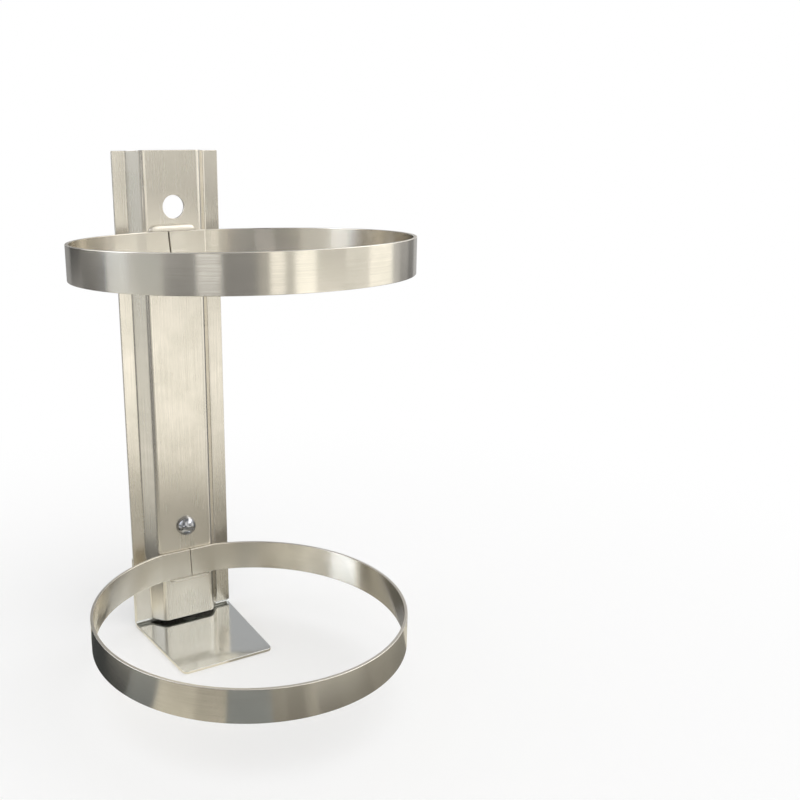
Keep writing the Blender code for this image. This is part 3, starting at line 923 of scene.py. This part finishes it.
# name, from and to in degrees, light beside the hoops, on the flat and upright, top in metres,
# tint beside the hoops, on the flat and upright
BOARDS = (
    ("board_behind_left", -196, -165, (0.45, 0.45, 0.30), 1.60, (WARM_GREY, NEUTRAL, NEUTRAL)),
    ("board_wall_left", -165, -144, (0.90, 0.65, 0.05), 1.60, (WARM_GREY, NEUTRAL, NEUTRAL)),
    ("board_left_dark", -144, -117, (0.05, 0.12, 0.10), 0.28, (COOL, NEUTRAL, NEUTRAL)),
    ("board_left_light", -117, -92, (0.05, 0.98, 0.34), 0.28, (COOL, CREAM, COOL)),
    ("board_left_middle", -92, -74, (0.20, 0.78, 0.38), 0.28, (COOL, CREAM, COOL)),
    ("board_left_front", -74, -53, (0.70, 0.15, 0.50), 1.60, (WARM_GREY, NEUTRAL, NEUTRAL)),
    ("board_window_strip", -53, -38, (0.55, 0.05, 1.75), 0.28, (WARM_GREY, NEUTRAL, NEUTRAL)),
    ("board_camera_side", -38, -17, (0.30, 0.35, 0.06), 0.28, (COOL, NEUTRAL, NEUTRAL)),
    ("board_front_half_tone", -17, -10, (0.25, 0.70, 0.05), 0.28, (WARM_GREY, CREAM, CREAM)),
    ("board_front_white", -10, -1, (0.20, 0.75, 1.50), 0.28, (WARM_GREY, CREAM, CREAM)),
    ("board_front_cream", -1, 5, (0.30, 0.50, 0.70), 1.60, (WARM_GREY, CREAM, CREAM)),
    ("board_bright_strip", 5, 18, (0.17, 1.60, 1.42), 0.28, (WARM_GREY, CREAM, CREAM)),
    ("board_right_cream", 18, 38, (0.20, 1.55, 0.30), 0.28, (WARM_GREY, CREAM, CREAM)),
    ("board_right_middle", 38, 57, (0.25, 0.90, 0.85), 0.28, (WARM_GREY, CREAM, CREAM)),
    ("board_right_bright", 57, 80, (0.23, 1.20, 1.40), 0.28, (WARM_GREY, CREAM, CREAM)),
    ("board_right_half_tone", 80, 90, (0.75, 0.75, 0.55), 0.28, (WARM_GREY, NEUTRAL, NEUTRAL)),
    ("board_right_grey", 90, 103, (0.40, 0.20, 0.45), 0.28, (NEUTRAL, NEUTRAL, NEUTRAL)),
    ("board_right_dark", 103, 116, (0.30, 0.10, 0.25), 0.28, (NEUTRAL, NEUTRAL, NEUTRAL)),
    ("board_behind_right", 116, 164, (0.12, 0.45, 0.50), 1.60, (WARM_GREY, NEUTRAL, NEUTRAL)),
)


def board_material(name, lights, tints):
    """Light that changes from beside the hoops to the flat, and from the flat to the upright part."""
    material, tree = new_material(name)
    place = add_node(tree, "ShaderNodeTexCoord")
    height = add_node(tree, "ShaderNodeSeparateXYZ", {"Vector": place.outputs["Object"]}).outputs["Z"]
    beside, flat, upright = (
        add_node(tree, "ShaderNodeEmission", {"Color": linear(tint), "Strength": light}).outputs["Emission"]
        for tint, light in zip(tints, lights))
    onto_flat = add_node(tree, "ShaderNodeMapRange", {
        "Value": distance_from_hoops(tree), "From Min": BESIDE_TO_FLAT[0], "From Max": BESIDE_TO_FLAT[1]},
        interpolation_type="SMOOTHSTEP")
    near = add_node(tree, "ShaderNodeMixShader", {
        0: onto_flat.outputs["Result"], 1: beside, 2: flat})
    onto_upright = add_node(tree, "ShaderNodeMapRange", {
        "Value": height, "From Min": FLAT_TO_UPRIGHT[0], "From Max": FLAT_TO_UPRIGHT[1]},
        interpolation_type="SMOOTHSTEP")
    whole = add_node(tree, "ShaderNodeMixShader", {
        0: onto_upright.outputs["Result"], 1: near.outputs["Shader"], 2: upright})
    add_node(tree, "ShaderNodeOutputMaterial", {"Surface": whole.outputs["Shader"]})
    return material


def only_in_reflections(item):
    """Hides a board from all rays but those off metal, so that it lights nothing by itself."""
    item.visible_camera = item.visible_diffuse = item.visible_shadow = False
    item.visible_transmission = item.visible_volume_scatter = False


def sweep_board(name, start, end, profile, material):
    """A profile of distance and height, swept about the upright axis through the hoops."""
    sweep = bmesh.new()
    points = [sweep.verts.new((0, -across, up)) for across, up in profile]
    for first, second in zip(points, points[1:]):
        sweep.edges.new((first, second))
    bmesh.ops.rotate(sweep, verts=points, cent=(0, 0, 0),
                     matrix=Matrix.Rotation(math.radians(start), 3, "Z"))
    bmesh.ops.spin(sweep, geom=sweep.verts[:] + sweep.edges[:], cent=(0, 0, 0), axis=(0, 0, 1),
                   angle=math.radians(end - start), steps=max(2, round((end - start) / BOARD_STEP)),
                   use_merge=False)
    bmesh.ops.translate(sweep, verts=sweep.verts, vec=ring_centre)
    only_in_reflections(stage_mesh(name, sweep, material))


for name, start, end, lights, top, tints in BOARDS:
    lift = floor_level + BOARD_LIFT
    profile = ((BOARD_START, lift), (BOARD_FOLD, lift), (BOARD_REACH, BOARD_RISE), (BOARD_REACH, top))
    sweep_board(name, start, end, profile, board_material(name, lights, tints))
print(len(BOARDS), "boards stand on the floor round the bracket")

# %% [markdown]
# ## Boards below and above
#
# The ring is finished by a pale disc in two parts on the floor inside the lower hoop, where the rivet
# and the hoop's inside look down, and by boards that hang above the ring. The brightest of these are
# a window to the left and a soft box high up on the right, which makes the highlight on the rivet. A
# grey ceiling keeps what faces up from going white. Where no board hangs, the metal sees the white
# world between the ring and the ceiling.

# %% Boards below and above
# name, from and to in degrees, bottom and top in metres, light, tint
HUNG_BOARDS = (
    ("board_high_left", -144, -122, 0.28, 1.60, 2.60, NEUTRAL),
    ("board_high_window", -122, -100, 0.28, 1.60, 4.00, DAYLIGHT),
    ("board_high_flag", -53, -38, 0.28, 1.60, 0.02, NEUTRAL),
    ("board_high_front", -17, -1, 0.28, 1.60, 1.50, CREAM),
    ("board_right_shade", 18, 38, 0.28, 0.60, 0.58, CREAM),
    ("board_high_right", 18, 38, 0.60, 1.60, 2.05, NEUTRAL),
    ("board_soft_box", 38, 103, 0.60, 1.60, 3.40, NEUTRAL),
)

# name, from and to in degrees, light
INSIDE_BOARDS = (("board_inside_back", -180, -90, 1.00), ("board_inside_front", -90, 180, 0.42))
INSIDE_LIFT = 0.05 * MM
CEILING, CEILING_LIGHT = 1.62, 0.35


def even_board(name, start, end, profile, light, tint):
    """A board that gives the same light all over."""
    material, tree = new_material(name)
    even = add_node(tree, "ShaderNodeEmission", {"Color": linear(tint), "Strength": light})
    add_node(tree, "ShaderNodeOutputMaterial", {"Surface": even.outputs["Emission"]})
    sweep_board(name, start, end, profile, material)


for name, start, end, light in INSIDE_BOARDS:
    lift = floor_level + INSIDE_LIFT
    even_board(name, start, end, ((0.0, lift), (BOARD_START, lift)), light, WARM_GREY)
for name, start, end, bottom, top, light, tint in HUNG_BOARDS:
    even_board(name, start, end, ((BOARD_REACH, bottom), (BOARD_REACH, top)), light, tint)
even_board("board_overhead", 0, 360, ((0.0, CEILING), (BOARD_REACH, CEILING)), CEILING_LIGHT, NEUTRAL)
print(len(INSIDE_BOARDS), "boards lie inside the hoop and", len(HUNG_BOARDS) + 1, "hang above")
